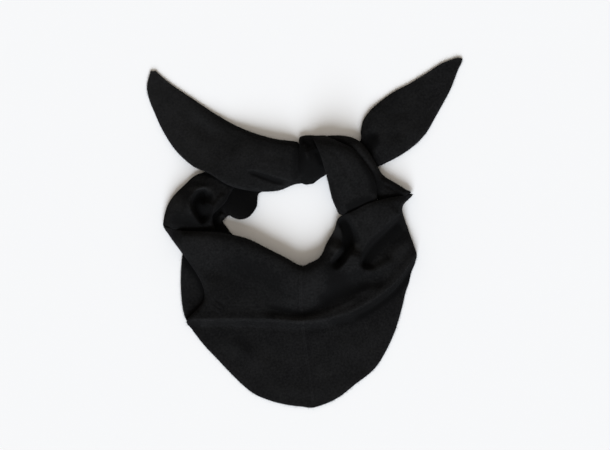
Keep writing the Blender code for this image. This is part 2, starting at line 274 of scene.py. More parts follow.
def feltMaterial(name, pale=0.0):
    material = bpy.data.materials.new(name)
    material.use_nodes = True
    make = Maker(material)
    shader = material.node_tree.nodes["Principled BSDF"]
    shader.inputs["Metallic"].default_value = 0.0
    shader.inputs["Specular IOR Level"].default_value = felt["specular"]
    shader.inputs["Sheen Weight"].default_value = felt["sheen"]
    shader.inputs["Sheen Roughness"].default_value = felt["sheenRoughness"]
    shader.inputs["Sheen Tint"].default_value = felt["sheenTint"]

    place = make.add("ShaderNodeTexCoord", out=3)               # Object coordinates, metres
    sheetUv = make.add("ShaderNodeUVMap", {"uv_map": "cloth"})  # along the knit, metres
    u = make.add("ShaderNodeSeparateXYZ", i0=sheetUv)
    v = Wire(make.tree, u.socket.node.outputs[1])

    # fine jersey, half lost under the felt: columns of leaning stitches
    column = (u / (felt["waleWidth"] * mm)).fraction() - 0.5
    lean = column.size() * felt["stitchLean"]
    stitch = ((v / (felt["courseHeight"] * mm) + lean) * (2 * math.pi)).sine() * 0.5 + 0.5
    groove = 1 - (column.size() * 2) ** felt["grooveSharpness"]
    knit = stitch * groove

    fuzz = make.add("ShaderNodeTexNoise", Vector=place, **felt["fuzz"])
    mottle = make.add("ShaderNodeTexNoise", Vector=place, **felt["mottle"])
    cloud = make.add("ShaderNodeTexNoise", Vector=place, **felt["cloud"])
    fibre = make.add("ShaderNodeTexVoronoi", {"feature": "DISTANCE_TO_EDGE"}, Vector=place,
                     Scale=felt["fibreScale"])
    # share of the light painted into the colour at each point: painted shade from the folds round it and in
    # the creases, painted light where shades below zero raise it
    share = make.add("ShaderNodeAttribute", {"attribute_name": "sky"}, out=2)

    # painted light: past the open face's share the tone grows lighter, and below it painted shade makes it
    # darker
    paintedLightShift = (share - felt["skyHigh"]) * felt["paintedLightGain"]
    part = felt["toneShare"]
    tone = mottle * part["mottle"] - felt["toneShift"] + (fuzz - 0.5) * part["fuzz"]
    tone = (tone + (cloud - 0.5) * part["cloud"] + (knit - felt["knitMean"]) * part["knit"] + paintedLightShift).clamp()
    colours = {"data_type": "RGBA"}
    ground = make.add("ShaderNodeMix", colours, out=2, i0=tone, i6=felt["deep"], i7=felt["lighter"])
    # painted shade: the less light a point keeps, the nearer its colour comes to the painted shade colour;
    # pale lifts a material a little out of it
    openShare = ((share - felt["skyLow"]) / (felt["skyHigh"] - felt["skyLow"])).clamp()
    lightness = openShare ** felt["hollowFade"] + pale
    lit = make.add("ShaderNodeMix", colours, out=2, i0=lightness, i6=felt["hollow"], i7=ground)
    make.tree.links.new(lit.socket, shader.inputs["Base Color"])
    rough = (felt["roughnessLow"] + mottle * felt["roughnessRise"]).clamp()
    make.tree.links.new(rough.socket, shader.inputs["Roughness"])
    part = felt["heightShare"]
    height = knit * part["knit"] + fuzz * part["fuzz"] + mottle * part["mottle"] + fibre * part["fibre"]
    bump = make.add("ShaderNodeBump", Strength=felt["bumpStrength"], Distance=felt["bumpDistance"],
                    Height=height)
    make.tree.links.new(bump.socket, shader.inputs["Normal"])
    return material


feltCloth = feltMaterial("felted wool")
feltFibre = feltMaterial("felted wool fibres", pale=0.1)


# painted shade: how much of the sky each point of the cloth sees, worked out from a map of heights and
# painted into its colour
sky = {
    "cell": 1.25, "corner": (-240.0, -260.0), "extent": (480, 520),  # map of the heights from above
    "ways": 16, "steps": (1.9, 2.8, 4.0, 5.6, 8.0, 11.5, 16.5, 24.0, 34.0),
    "keyBias": 0.1,      # a little more of it comes from the front
    "mostGained": 0.8, "mostLost": 0.9,
}


def topMap(surfaces):
    # height of the uppermost cloth over each cell of the floor
    top = np.zeros([round(side / sky["cell"]) + 1 for side in sky["extent"]])
    for surface in surfaces:
        place = np.rint((surface[:, :, :2] - sky["corner"]) / sky["cell"]).astype(int)
        np.maximum.at(top, (place[:, :, 0], place[:, :, 1]), surface[:, :, 2])
    closed = top.copy()
    for across, along in ((1, 0), (-1, 0), (0, 1), (0, -1)):
        closed = np.maximum(closed, np.where(top > 0, 0, np.roll(top, (across, along), (0, 1))))
    return closed


def creaseShare(surface, settings):
    # painted shade: share of light left in the closed creases, which no map of heights can hold, and painted
    # light gained at free edges and wherever a shade is below zero
    points = surface[:, :, :2].reshape(-1, 2)
    rims = [(side, sideOf(surface, side)[:, :2], -felt["rimHighlightAndWear"], felt["rimWidth"], felt["rimWidth"], 0)
            for side in settings["edges"]]
    lost = foldRelief(points, settings["shades"]) + foldRelief(points, rims)
    return 1 - np.clip(lost.reshape(surface.shape[:2]), -sky["mostGained"], sky["mostLost"])


def skyShare(surface, top):
    # share of the sky that a point of the cloth sees past the folds round it, painted into its colour as
    # shade
    total = np.zeros(surface.shape[:2])
    weights = 0.0
    for way in range(sky["ways"]):
        angle = 2 * math.pi * way / sky["ways"]
        forward = np.array([math.cos(angle), math.sin(angle)])
        steepest = np.zeros(surface.shape[:2])
        for step in sky["steps"]:
            place = np.rint((surface[:, :, :2] + forward * step - sky["corner"]) / sky["cell"]).astype(int)
            rise = top[place[:, :, 0], place[:, :, 1]] - surface[:, :, 2]
            steepest = np.maximum(steepest, rise / step)
        weight = 1 - sky["keyBias"] * forward[1]
        total += weight / (1 + steepest ** 2)
        weights += weight
    return total / weights


def alongCloth(surface, axis):
    # mean distance of each grid line from the first, in metres
    steps = np.linalg.norm(np.diff(surface, axis=axis), axis=2).mean(axis=1 - axis)
    return np.concatenate([[0], np.cumsum(steps)]) * mm


def gridOn(surface):
    # a grid of faces laid on the surface's points, with its own measure along the cloth
    rows, columns = surface.shape[:2]
    alongU = alongCloth(surface, 1)
    alongV = alongCloth(surface, 0)
    bm = bmesh.new()
    bmesh.ops.create_grid(bm, x_segments=columns - 1, y_segments=rows - 1, size=0.5)
    uv = bm.loops.layers.uv.new("cloth")
    cellOf = {}
    for vert in bm.verts:
        column = round((vert.co.x + 0.5) * (columns - 1))
        row = round((vert.co.y + 0.5) * (rows - 1))
        cellOf[vert] = (row, column)
    for vert, (row, column) in cellOf.items():
        vert.co = (surface[row, column] - middle) * mm
        for loop in vert.link_loops:
            loop[uv].uv = (alongU[column], alongV[row])
    return bm, cellOf


def addPiece(name, bm, material, replaced, share):
    mesh = bpy.data.meshes.new(name)
    bm.to_mesh(mesh)
    bm.free()
    # the share of light at each point, which carries the painted shade and painted light to the material
    mesh.attributes.new("sky", "FLOAT", "POINT").data.foreach_set("value", share)
    mesh.materials.append(material)
    mesh.shade_smooth()
    piece = bpy.data.objects.new(name, mesh)
    bpy.context.scene.collection.objects.link(piece)
    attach(piece, "root")
    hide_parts(*replaced)
    return piece


def clothPiece(settings, surface, share):
    # a stretch of cloth, its top side on the surface, with a rounded cut edge
    bm, cellOf = gridOn(surface)
    bmesh.ops.recalc_face_normals(bm, faces=bm.faces)
    if sum(face.normal.z for face in bm.faces) < 0:
        bmesh.ops.reverse_faces(bm, faces=bm.faces)
    shareAt = np.array([share[cellOf[vert]] for vert in bm.verts])
    weight = bm.edges.layers.float.new("bevel_weight_edge")
    for edge in bm.edges:
        edge[weight] = 1.0 if edge.is_boundary else 0.0
    piece = addPiece(settings["name"], bm, feltCloth, settings["replaces"], shareAt)
    wall = piece.modifiers.new("wall", "SOLIDIFY")
    wall.thickness = cloth["wall"] * mm
    wall.offset = -1.0
    rim = piece.modifiers.new("rim", "BEVEL")
    rim.limit_method = "WEIGHT"
    rim.width = cloth["rimRound"] * mm
    rim.segments = 2
    rim.profile = 0.5
    print(settings["name"], "laid", round(time.time() - startTime, 1), "s")


def stripSurface(settings):
    table = np.asarray(settings["sections"], float)
    length = np.linalg.norm(np.diff((table[:, :2] + table[:, 2:4]) / 2, axis=0), axis=1).sum()
    count = round(length / settings["rowSpacing"]) + 1
    rows = sectionsAt(table, np.linspace(0, len(table) - 1, count))
    places = crowdedAtEdges(settings["across"])
    aRoll, bRoll = settings["rolls"]
    surface = np.zeros((len(rows), len(places), 3))
    for index, (ax, ay, bx, by, az, crownZ, bz) in enumerate(rows):
        surface[index, :, 0] = ax + (bx - ax) * places
        surface[index, :, 1] = ay + (by - ay) * places
        width = math.hypot(bx - ax, by - ay)
        edge = az + (bz - az) * places
        rise = np.minimum(roll(places * width, min(aRoll, width / 2)),
                          roll((1 - places) * width, min(bRoll, width / 2)))
        swell = cloth["swellAtEdge"] + (1 - cloth["swellAtEdge"]) * np.sin(math.pi * places)
        surface[index, :, 2] = edge + (np.maximum(edge, crownZ) - edge) * rise * swell
    relief = foldRelief(surface[:, :, :2].reshape(-1, 2), settings["folds"]).reshape(surface.shape[:2])
    lowest = np.minimum(surface[:, :, 2], cloth["hollowFloor"])
    softness = np.minimum(cloth["floorShare"] * (surface[:, :, 2] - lowest), cloth["floorSoftness"])
    surface[:, :, 2] = softFloor(surface[:, :, 2] + relief, lowest, softness)
    return surface


def quietAtEnds(cells, parts):
    places = np.linspace(0, 1, cells)
    return np.clip(np.minimum(places, 1 - places) * parts, 0, 1)


def uneven(surface, seed):
    # slow lumps and small nap, held back at the sides and the ends
    rows, columns = surface.shape[:2]
    across = quietAtEnds(columns, cloth["quietSides"])[None, :]
    along = quietAtEnds(rows, cloth["quietEnds"])[:, None]
    surface[:, :, 2] += feltFace(surface, seed) * (across * along)
    return surface


bib = {
    "name": "bib", "edges": ("start", "end", "a", "b"), "replaces": ("bib_left", "bib_right"), "held": "laid",
    "flat": (0.34, 0.26), "area": 0.058, "restsOn": ("hidden_layers", "under_fold_left"),
    "stations": (0.0, 0.34, 0.50, 1.0),  # neck edge, brow, cross ridge, hem
    # cells from the neck to the hem, then from side to side: from, to, how many
    "rows": ((0.0, 0.05, 8), (0.05, 0.5, 58), (0.5, 0.985, 48), (0.985, 1.0, 3)),
    "columns": ((0.0, 0.35, 8), (0.35, 7.6, 108), (7.6, 8.4, 30), (8.4, 16.6, 128), (16.6, 17.0, 8)),
    "neckRoll": 8.0, "foldRoll": 9.0, "foldEdge": 4.8, "seed": 1,
    # from one side to the other: neck x y, brow x y, ridge x y, hem x y, height of the neck edge
    "left": (
        (-177, 5.5, -126.5, -83, -147, -109, -141, -124, 14),
        (-156, 1, -116, -81, -131, -109, -127, -142, 16),
        (-134, 0, -104, -77, -112, -109, -109, -161, 18),
        (-110, -1, -86, -74, -91, -109, -88, -183, 19),
        (-92, -4, -69, -74, -69, -109, -66, -202, 19),
        (-70, -10, -51, -76, -46, -110, -43, -212, 19),
        (-46, -22, -34, -77, -27, -111, -22, -217, 18),
        (-26, -32, -20, -79, -15, -112, -5, -219, 18),
    ),
    "seam": (-6, -42.5, -6, -81, -4, -112, 11, -220, 18),
    "right": (
        (6, -39, 9, -78, 13, -111, 38, -209.5, 18),
        (18.5, -31.5, 25, -72, 33, -107, 62.5, -191, 16),
        (26, -15.5, 41, -62, 54, -101, 88.5, -169, 12),
        (35, 0, 56, -49, 76, -90, 108.5, -133, 8),
        (42.5, 16.5, 70, -38, 95, -77, 119, -101, 16),
        (61, 26, 85, -26, 110, -64, 125, -76, 20),
        (79, 35, 100, -12, 121, -52, 129, -65, 20),
        (105, 42, 112, 8, 131, -38, 132, -52, 17),
        (134, 46, 121.5, 22, 138, -25, 137, -40, 12),
    ),
}
ridgeLine = tuple(row[4:6] for row in bib["left"] + (bib["seam"],) + bib["right"])
ridgeLeft = ridgeLine[:8]
ridgeRight = ridgeLine[6:] + ((137, -16),)
seamLine = ((-6, -42.5), (-6, -81), (-4, -112), (3, -165), (11, -219))
shelf = ("shelf above the ridge", ridgeLine, 9.0, 11.5, 400.0, 0)
bib["folds"] = (
    shelf,
    ("cross ridge, left", ridgeLeft, 1.5, 8, 12, 14),
    ("cross ridge, right", ridgeRight, 2.5, 9, 12, 16),
    ("middle valley", ((-62, -94), (-31, -100), (-4, -102), (21, -93), (50, -79), (79, -67)),
     -3.7, 12, 17, 26),
    ("neck roll",
     ((-165, -8), (-110, -12), (-75, -22), (-48, -34), (-8, -54), (14, -51), (34, -38), (48, -12)),
     13.0, 45, 30, 14),
    ("right shoulder", ((48, 12), (64, 20), (96, 34), (126, 40)), 12.0, 44, 30, 12),
    ("inner valley", ((43, 19), (52, 4), (54, -14), (46, -31), (32, -47)), -13.0, 10, 9, 14),
    ("wedge crest", ((120, 27), (95, 4), (76, -14), (67, -33), (70, -54)), 5.0, 26, 5, 12),
    ("wedge valley", ((121, 15), (102, -5), (83, -24), (70, -46)), -8.0, 7, 28, 10),
    ("low shelf", ((70, -54), (95, -44), (114, -34)), 3.0, 9, 9, 12),
    ("low trough", ((14, -86), (34, -74), (58, -65), (84, -61), (102, -56)), -4.0, 14, 15, 16),
    # finer creases that only the looks carry
    ("ridge crown", ridgeLine, 0.3, 3.0, 4.0, 8),
    ("crease under the ridge, left", ((-136, -116), (-97, -117), (-52, -118), (-10, -119)), -0.5, 4, 5, 14),
    ("crease under the ridge, right", ((60, -107), (84, -98), (112, -76), (127, -53), (133, -39)),
     -2.0, 5, 5, 14),
    ("middle crease", ((-36, -98), (-22, -101), (-4, -103), (16, -97), (38, -86)), -0.3, 4, 6, 12),
    ("faint crest", ((2, -93), (14, -82), (30, -67), (42, -60)), 1.3, 8, 7, 14),
    ("inner valley line", ((45, 15), (52, 3), (54, -14), (47, -30), (35, -44)), -3.0, 4, 5, 12),
    ("wedge lip", ((117, 24), (96, 5), (77, -14), (68, -33), (71, -52)), 0.9, 14, 4.0, 10),
    ("wedge line", ((119, 16), (100, -3), (81, -23), (69, -46)), -3.0, 3, 9, 8),
    ("side crease a", ((-116, -84), (-104, -90), (-96, -97)), -0.9, 3, 3, 6),
    ("side crease b", ((-118, -92), (-108, -99), (-101, -103)), 0.7, 3, 3, 6),
    ("side dip", ((-128, -58), (-110, -50), (-84, -52)), -1.2, 14, 16, 18),
    ("chest dip", ((-96, -44), (-62, -52), (-36, -66)), -1.2, 18, 20, 24),
)
bib["lowFolds"] = (
    ("left dip rim", ((-112, -128), (-84, -146), (-54, -166), (-40, -190)), 1.1, 16, 18, 26),
    ("right swell", ((28, -128), (52, -146), (70, -160)), 1.2, 18, 20, 26),
    ("hem swell", ((-30, -196), (6, -200), (40, -190)), 0.9, 14, 12, 20),
)
bib["seamFolds"] = (
    ("welt", seamLine, 0.9, 3.6, 3.6, 3),
    ("stitch line", seamLine, -0.8, 1.2, 1.2, 3),
)
# painted shade where cloth folded over itself loses light, and painted light where it gains it if below zero,
# here and in each strip: name, line, share of the light,
# width of the right side, of the left side, fade at the ends
bib["shades"] = (
    ("seam", seamLine, -0.16, 2.6, 2.6, 6),
    ("under the wedge crest", ((121, 18), (102, -2), (83, -21), (69, -41), (67, -47)), 0.54, 4, 13, 8),
    ("wedge flank", ((127, 11), (114, -3), (102, -14)), 0.10, 9, 14, 12),
    ("rise beyond the wedge", ((128, -10), (114, -24), (98, -36)), -0.22, 12, 16, 12),
    ("foot of the wedge", ((77, -46), (90, -40), (102, -31)), -0.50, 9, 9, 8),
    ("beside the inner valley", ((62, -12), (64, -22), (62, -31)), -0.45, 6, 7, 6),
    ("inner valley", ((46, 14), (54, -2), (55, -14), (49, -28), (41, -38), (33, -47)), 0.80, 6, 6, 9),
    ("flank of the inner valley", ((50, -18), (42, -31), (32, -43)), 0.20, 7, 5, 10),
    ("strip beside the neck", ((38, 8), (39, -4), (38, -16), (32, -28)), -0.80, 9, 9, 8),
    ("foot of the inner valley", ((42, -34), (32, -46), (24, -58)), 0.35, 14, 14, 16),
    ("under the ridge, right",
     ((139, -29), (133, -44), (123, -58), (113, -69), (98, -82), (79, -95), (56, -106)),
     0.74, 5, 12, 14),
    ("edge of the ridge", ((134, -23), (128, -37), (118, -51), (107, -63), (92, -76), (72, -90)),
     -0.15, 3, 3, 12),
    ("under the ridge, left", ((-140, -117), (-97, -118), (-52, -119), (-8, -120), (40, -114)),
     -0.22, 8, 12, 16),
    ("edge of the ridge, left", ((-143, -110), (-110, -110), (-68, -110), (-26, -112)), -0.06, 2.5, 3, 12),
    ("middle crease", ((-52, -93), (-31, -98), (-10, -102), (2, -102), (20, -93), (38, -84)), 0.32, 3, 6, 14),
    ("foot of the middle ridge", ((-44, -105), (-24, -108), (-2, -109), (18, -104), (44, -95), (66, -85)),
     -0.36, 6, 3.5, 12),
    ("flank of the ridge", ((26, -107), (40, -103), (65, -94), (86, -84)), -0.20, 4, 5, 10),
    ("broad dark of the middle", ((14, -94), (34, -84), (57, -75), (84, -67)), 0.30, 7, 15, 12),
    ("chest", ((-120, -36), (-60, -52), (-10, -70)), 0.13, 42, 36, 30),
    ("left dip", ((-94, -128), (-76, -142), (-62, -156)), 0.20, 16, 16, 18),
    ("chest hollow", ((22, -74), (42, -64), (60, -60)), 0.38, 16, 20, 18),
)


def spread(parts):
    runs = [np.linspace(start, end, cells + 1)[1:] for start, end, cells in parts]
    return np.concatenate([[parts[0][0]]] + runs)


def bibSurface():
    table = np.asarray(bib["left"] + (bib["seam"],) + bib["right"], float)
    rows = sectionsAt(table, spread(bib["columns"]))
    places = spread(bib["rows"])
    surface = np.zeros((len(rows), len(places), 3))
    for index, row in enumerate(rows):
        surface[index, :, :2] = between(bib["stations"], row[:-1].reshape(-1, 2), places)

    def relief(folds):
        return foldRelief(surface[:, :, :2].reshape(-1, 2), folds).reshape(surface.shape[:2])

    # the shelf of the folded layers, its hollows, then the single layer of the bib below the ridge
    wall = cloth["wall"]
    onShelf = relief((shelf,)) / shelf[2]
    lowest = wall + (cloth["hollowFloor"] - wall) * onShelf
    height = softFloor(wall + relief(bib["folds"]), lowest, cloth["shelfSoftness"] * onShelf)
    height += relief(bib["lowFolds"])
    surface[:, :, 2] = height
    lumps = feltFace(surface, bib["seed"])
    height = height + np.where(onShelf > 0.5, lumps, np.abs(lumps)) + relief(bib["seamFolds"])

    # edges: rolled at the neck and at both side folds, one layer at the hem
    fromNeck = np.linalg.norm(surface[:, :, :2] - surface[:, :1, :2], axis=2)
    edge = np.minimum(height, rows[:, -1:])
    height = edge + (height - edge) * roll(fromNeck, bib["neckRoll"])
    for side in (0, -1):
        fromFold = np.linalg.norm(surface[:, :, :2] - surface[None, side, :, :2], axis=2)
        edge = np.minimum(height, bib["foldEdge"])
        height = edge + (height - edge) * roll(fromFold, bib["foldRoll"])
    fromHem = np.linalg.norm(surface[:, :, :2] - surface[:, -1:, :2], axis=2)
    taper = cloth["hemTaper"]
    tapered = wall + (height - wall) * np.clip(fromHem / taper, 0, 1)
    surface[:, :, 2] = np.where(fromHem < taper, tapered, height)
    return surface


# a strip's sections, from its start to its end: side a x y, side b x y, heights of a, of the crown and of b
underFold = {
    "name": "underFoldLeft", "replaces": ("under_fold_left",), "held": "folded",
    "flat": (0.050, 0.085), "area": 0.0036, "restsOn": ("hidden_layers",),
    "rowSpacing": 1.5, "across": 26, "rolls": (9, 9), "seed": 2, "edges": ("start", "end", "a", "b"),
    "sections": (
        (-153, -24, -132, -24, 2.0, 2.8, 3.6),
        (-155, -40, -124, -40, 2.0, 3.2, 3.9),
        (-156, -62, -114, -62, 2.0, 3.3, 4.0),
        (-155, -84, -108, -84, 2.0, 3.2, 3.8),
        (-153, -98, -111, -98, 2.0, 2.6, 3.2),
        (-151, -106, -116, -106, 2.0, 2.3, 2.6),
        (-149, -111, -122, -111, 2.0, 2.1, 2.2),
    ),
    "folds": (
        ("small ridge", ((-150, -86), (-144, -92), (-140, -99)), 0.8, 3, 3, 5),
    ),
    "shades": (
        ("under the bib's fold", ((-150, -33), (-130, -60), (-124, -80), (-126, -98)), 0.35, 9, 9, 8),
    ),
}
shoulderLeft = {
    "name": "shoulderLeft", "replaces": ("shoulder_left",), "held": "folded",
    "flat": (0.075, 0.10), "area": 0.0062, "restsOn": ("neck_layer_left", "hidden_layers"),
    "rowSpacing": 1.3, "across": 56, "rolls": (28, 4), "seed": 3, "edges": ("b",),
    "sections": (
        (-126, 74, -81, 59, 4, 11.5, 7),
        (-139, 69, -88, 56, 4, 13.5, 8.5),
        (-151, 58, -94, 47, 4, 17, 11),
        (-163, 46.5, -100, 36, 4, 20, 13),
        (-171, 35, -109, 27, 4, 22, 15),
        (-175.5, 23, -115, 21, 4, 21, 14),
        (-177.5, 13, -116, 13, 3, 17, 11),
        (-177.5, 6, -114, 6, 2.1, 14.5, 9.5),
        (-170, -4, -111, -2, 2.1, 8, 9),
        (-152, -10, -107, -8, 2.1, 6, 8),
    ),
    "folds": (
        ("outer hollow", ((-120, 50), (-132, 47), (-138, 36), (-135, 24), (-125, 9)), -13.0, 6, 23, 10),
        ("top of the hollow", ((-134, 42), (-124, 43), (-113, 46)), -5.0, 13, 7, 8),
        ("hollow line", ((-121, 50), (-133, 47), (-139, 36), (-136, 25), (-127, 11)), -2.0, 3, 9, 8),
        ("rim of the hollow", ((-120, 54), (-136, 52), (-145, 40), (-142, 24), (-131, 8)), 1.6, 8, 4, 10),
        ("tongue", ((-100, 48), (-108, 38), (-114, 28), (-118, 12)), 2.0, 5, 5, 8),
    ),
    "shades": (
        ("hollow", ((-122, 43), (-128, 36), (-129, 27), (-127, 17), (-121, 8)), 0.85, 13, 18, 8),
        ("under the hollow's top", ((-139, 42), (-128, 45), (-114, 45)), 0.62, 12, 4, 8),
        ("left edge of the hollow", ((-128, 46), (-137, 38), (-137, 26), (-128, 12)), 0.60, 5, 12, 6),
        ("foot of the shoulder", ((-170, 14), (-150, 12), (-132, 12)), 0.30, 10, 14, 10),
        ("light strip", ((-150, 52), (-132, 53), (-112, 52)), -0.45, 4, 5, 8),
        ("under the tail", ((-150, 66), (-120, 66), (-96, 56)), -0.15, 10, 8, 8),
        ("tongue", ((-86, 56), (-99, 45), (-108, 32), (-112, 18)), 0.12, 9, 9, 4),
        ("edge of the tongue", ((-94, 47), (-100, 36), (-109, 27), (-115, 20), (-116, 12)), 0.45, 4, 4, 0),
        ("outer curve", ((-156, 50), (-162, 40), (-158, 24)), -0.50, 22, 16, 10),
    ),
}
neckLayerLeft = {
    "name": "neckLayerLeft", "replaces": ("neck_layer_left",), "held": "folded",
    "flat": (0.045, 0.12), "area": 0.0033, "restsOn": ("hidden_layers",),
    "rowSpacing": 1.3, "across": 26, "rolls": (9, 9), "seed": 4, "edges": ("start", "b"),
    "sections": (
        (-45, 61, -54, 50, 5, 5, 5),
        (-61, 59, -59.5, 45, 5, 5.6, 4),
        (-74, 59, -61, 31, 5, 6, 9),
        (-86, 58, -69, 19.5, 5, 6, 13),
        (-95, 56, -79, 15, 5, 6, 13),
        (-104, 52, -88, 16, 5, 5, 11),
        (-112, 46, -95, 19.5, 5, 5, 7),
        (-113, 38, -99.5, 17, 5, 5, 4),
        (-116, 26, -103, 12, 5, 5, 4),
        (-119, 13, -99, 6, 5, 5, 4),
        (-117, 2, -94, -1, 5, 5, 4),
        (-114, -9, -89, -7, 5, 5, 4),
    ),
    "folds": (
        ("lip", ((-102, 24), (-107, 16), (-106, 6)), 4.0, 5, 5, 5),
    ),
    "shades": (
        ("lobe", ((-86, 50), (-78, 38), (-66, 30)), 0.60, 30, 30, 0),
        ("behind the tongue", ((-110, 34), (-114, 20), (-110, 4)), 0.60, 7, 7, 0),
        ("lit lip", ((-103, 28), (-102, 16)), -0.50, 6, 6, 0),
    ),
}
tailLeft = {
    "name": "tailLeft", "replaces": ("tail_left",), "held": "folded",
    "flat": (0.085, 0.27), "area": 0.0165, "restsOn": ("hidden_layers", "shoulder_left"),
    "rowSpacing": 1.6, "across": 52, "rolls": (9, 9), "seed": 5, "edges": ("start", "a", "b"),
    "sections": (
        (-187.5, 200.3, -193.5, 200, 2, 2, 2),
        (-175, 189, -198, 182, 2, 2, 2),
        (-160, 178, -196, 167, 2, 3, 2),
        (-139, 164, -189, 149, 2, 4.5, 2),
        (-115, 148, -179, 127, 2.5, 7, 3),
        (-91, 134, -163, 102, 3.5, 10.5, 5),
        (-69.5, 124.5, -141, 81.5, 5, 14.5, 10.5),
        (-51, 118.5, -120, 72, 5, 18, 16),
        (-36, 115, -95, 57, 4, 19.5, 15),
        (-24, 113.5, -66, 50, 3.5, 19.5, 11),
        (-15, 112.5, -35, 50.5, 3.5, 18, 8),
        (-9, 110.5, -15, 58, 3.5, 15.5, 5),
        (-4.5, 103, -2.3, 60, 4, 14.5, 3.6),
    ),
    "folds": (
        ("lower lip", ((-78, 76), (-54, 70), (-30, 62), (-12, 60)), -4.0, 60, 4, 22),
        ("lip line", ((-74, 74.5), (-62, 71), (-49, 66), (-36, 61.5), (-24, 59.5)), -1.6, 4, 3, 12),
        ("pull from the knot", ((-12, 90), (-36, 92), (-66, 98)), -0.7, 9, 10, 18),
        ("tail dip", ((-100, 112), (-124, 124), (-150, 146)), -1.5, 12, 14, 26),
        ("tail swell", ((-90, 122), (-118, 138), (-150, 160)), 0.8, 9, 10, 24),
    ),
    "shades": (
        ("before the knot", ((-12, 110), (-14, 84), (-12, 62)), 0.15, 8, 8, 6),
        # the tip and the roll are painted lighter
        ("lighter tip", ((-190, 190), (-170, 150), (-130, 120)), -0.22, 50, 50, 0),
        ("lighter roll", ((-90, 105), (-60, 95), (-30, 88)), -0.14, 30, 24, 16),
        ("lower lip", ((-70, 74), (-48, 66), (-22, 60)), 0.30, 5, 4, 12),
    ),
}
tailRight = {
    "name": "tailRight", "replaces": ("tail_right",), "held": "folded",
    "flat": (0.075, 0.18), "area": 0.0090, "restsOn": ("hidden_layers",),
    "rowSpacing": 1.6, "across": 44, "rolls": (9, 9), "seed": 6, "edges": ("end", "a", "b"),
    "sections": (
        (64, 101, 83, 77, 6.5, 7.8, 6.2),
        (69, 114, 100, 85, 7.5, 9.8, 5.6),
        (69, 125, 119, 95, 6, 11, 5),
        (72, 138, 137, 108, 4.5, 9, 4),
        (80, 150, 151, 123, 3.5, 8, 3),
        (93, 162, 162, 142, 2, 5.5, 2),
        (110, 174, 172, 160, 2, 4, 2),
        (129, 184, 181, 177, 2, 3, 2),
        (149, 196, 186, 190, 2, 2, 2),
        (169, 209, 191, 203, 2, 2, 2),
        (184, 215, 195, 211, 2, 2, 2),
        (191, 217, 196, 215, 2, 2, 2),
    ),
    "folds": (
        ("base hollow", ((66, 82), (76, 100), (80, 114), (88, 132)), -4.0, 12, 9, 14),
        ("base line", ((68, 84), (77, 100), (79, 112), (84, 126)), -2.5, 6, 5, 12),
        ("lower swell", ((100, 98), (122, 114), (142, 134)), 1.0, 9, 12, 18),
        ("long dip", ((96, 134), (122, 152), (150, 176)), -1.0, 12, 12, 22),
    ),
    "shades": (
        ("base hollow", ((78, 122), (82, 112), (86, 102)), 0.70, 13, 13, 6),
    ),
}
knotWrap = {
    "name": "knotWrap", "replaces": ("knot_wrap",), "held": "folded",
    "flat": (0.040, 0.075), "area": 0.0024, "restsOn": ("hidden_layers",),
    "rowSpacing": 1.2, "across": 32, "rolls": (9, 9), "seed": 7, "edges": ("end",),
    "sections": (
        (0, 120, 10, 120, 2.2, 2.6, 2.4),
        (-7, 117.5, 12, 116.5, 5, 8, 7),
        (-8.5, 112, 13, 112, 7.5, 14, 12),
        (-7.5, 106.5, 17, 107, 10.5, 18, 15.5),
        (-8.5, 96.5, 24, 100, 12, 21.5, 19.5),
        (-10.5, 84, 30, 88, 12, 22, 21),
        (-9.5, 72, 31, 78, 11, 18, 17.5),
        (-6.5, 63, 26, 71, 8.5, 13.5, 10.5),
        (-3, 59, 17, 65, 7.5, 8.5, 6.5),
        (1, 58, 10, 59.5, 4.5, 4.5, 4.5),
    ),
    "folds": (
        ("streak", ((0, 103), (2, 95), (5, 86)), 1.5, 5, 5, 6),
        ("folded corner", ((-6, 112), (1, 109), (8, 103)), -4.0, 6, 5, 4),
        ("side hollow", ((13, 104), (18, 92), (22, 80)), -3.0, 7, 7, 8),
    ),
    "shades": (
        ("left bulge", ((-8, 110), (-9, 92), (-6, 70)), 0.45, 9, 9, 6),
        ("folded corner", ((-7, 115), (2, 112), (10, 105)), 0.60, 10, 10, 4),
        ("beside the band", ((10, 110), (19, 90), (25, 74)), 0.45, 11, 11, 4),
        ("whole bulge", ((2, 92), (8, 80), (12, 68)), 0.34, 26, 26, 0),
        ("lit streak", ((0, 103), (2, 95), (4, 88)), -0.30, 5, 5, 6),
    ),
}
knotFoldRight = {
    "name": "knotFoldRight", "replaces": ("knot_fold_right",), "held": "folded",
    "flat": (0.030, 0.155), "area": 0.0033, "restsOn": ("tail_right", "bib_right"),
    "rowSpacing": 1.2, "across": 28, "rolls": (5.0, 9.0), "seed": 8, "edges": ("start", "end", "b"),
    "sections": (
        (25, 110, 27.5, 119.5, 5, 5.5, 2.4),
        (39, 107, 42, 119.8, 11, 12.5, 2.8),
        (50, 102, 57, 117.3, 13, 17, 7),
        (60, 93, 70, 110, 12, 20, 11),
        (69, 83, 81, 96, 11.5, 19.5, 10),
        (76, 73, 89.5, 81.5, 11.5, 18, 9),
        (80, 62, 97, 70, 9.5, 16, 6),
        (82, 51, 111, 61, 8.5, 15.5, 5),
        (89, 42, 124, 53, 8.5, 15.5, 5),
        (94, 35, 131, 47, 8, 12.5, 6),
        (94, 27, 112, 33, 5, 7.5, 5),
    ),
    "folds": (
        ("flap dip", ((96, 60), (106, 54), (116, 49)), -1.4, 4, 5, 8),
    ),
    "shades": (
        ("below the pleat", ((81, 80), (88, 62), (92, 46)), 0.28, 13, 15, 10),
        ("top slit", ((26, 114), (40, 111), (52, 106)), 0.45, 6, 6, 6),
        ("bright crown", ((58, 108), (72, 96), (86, 80), (98, 64)), -0.30, 12, 12, 6),
    ),
}
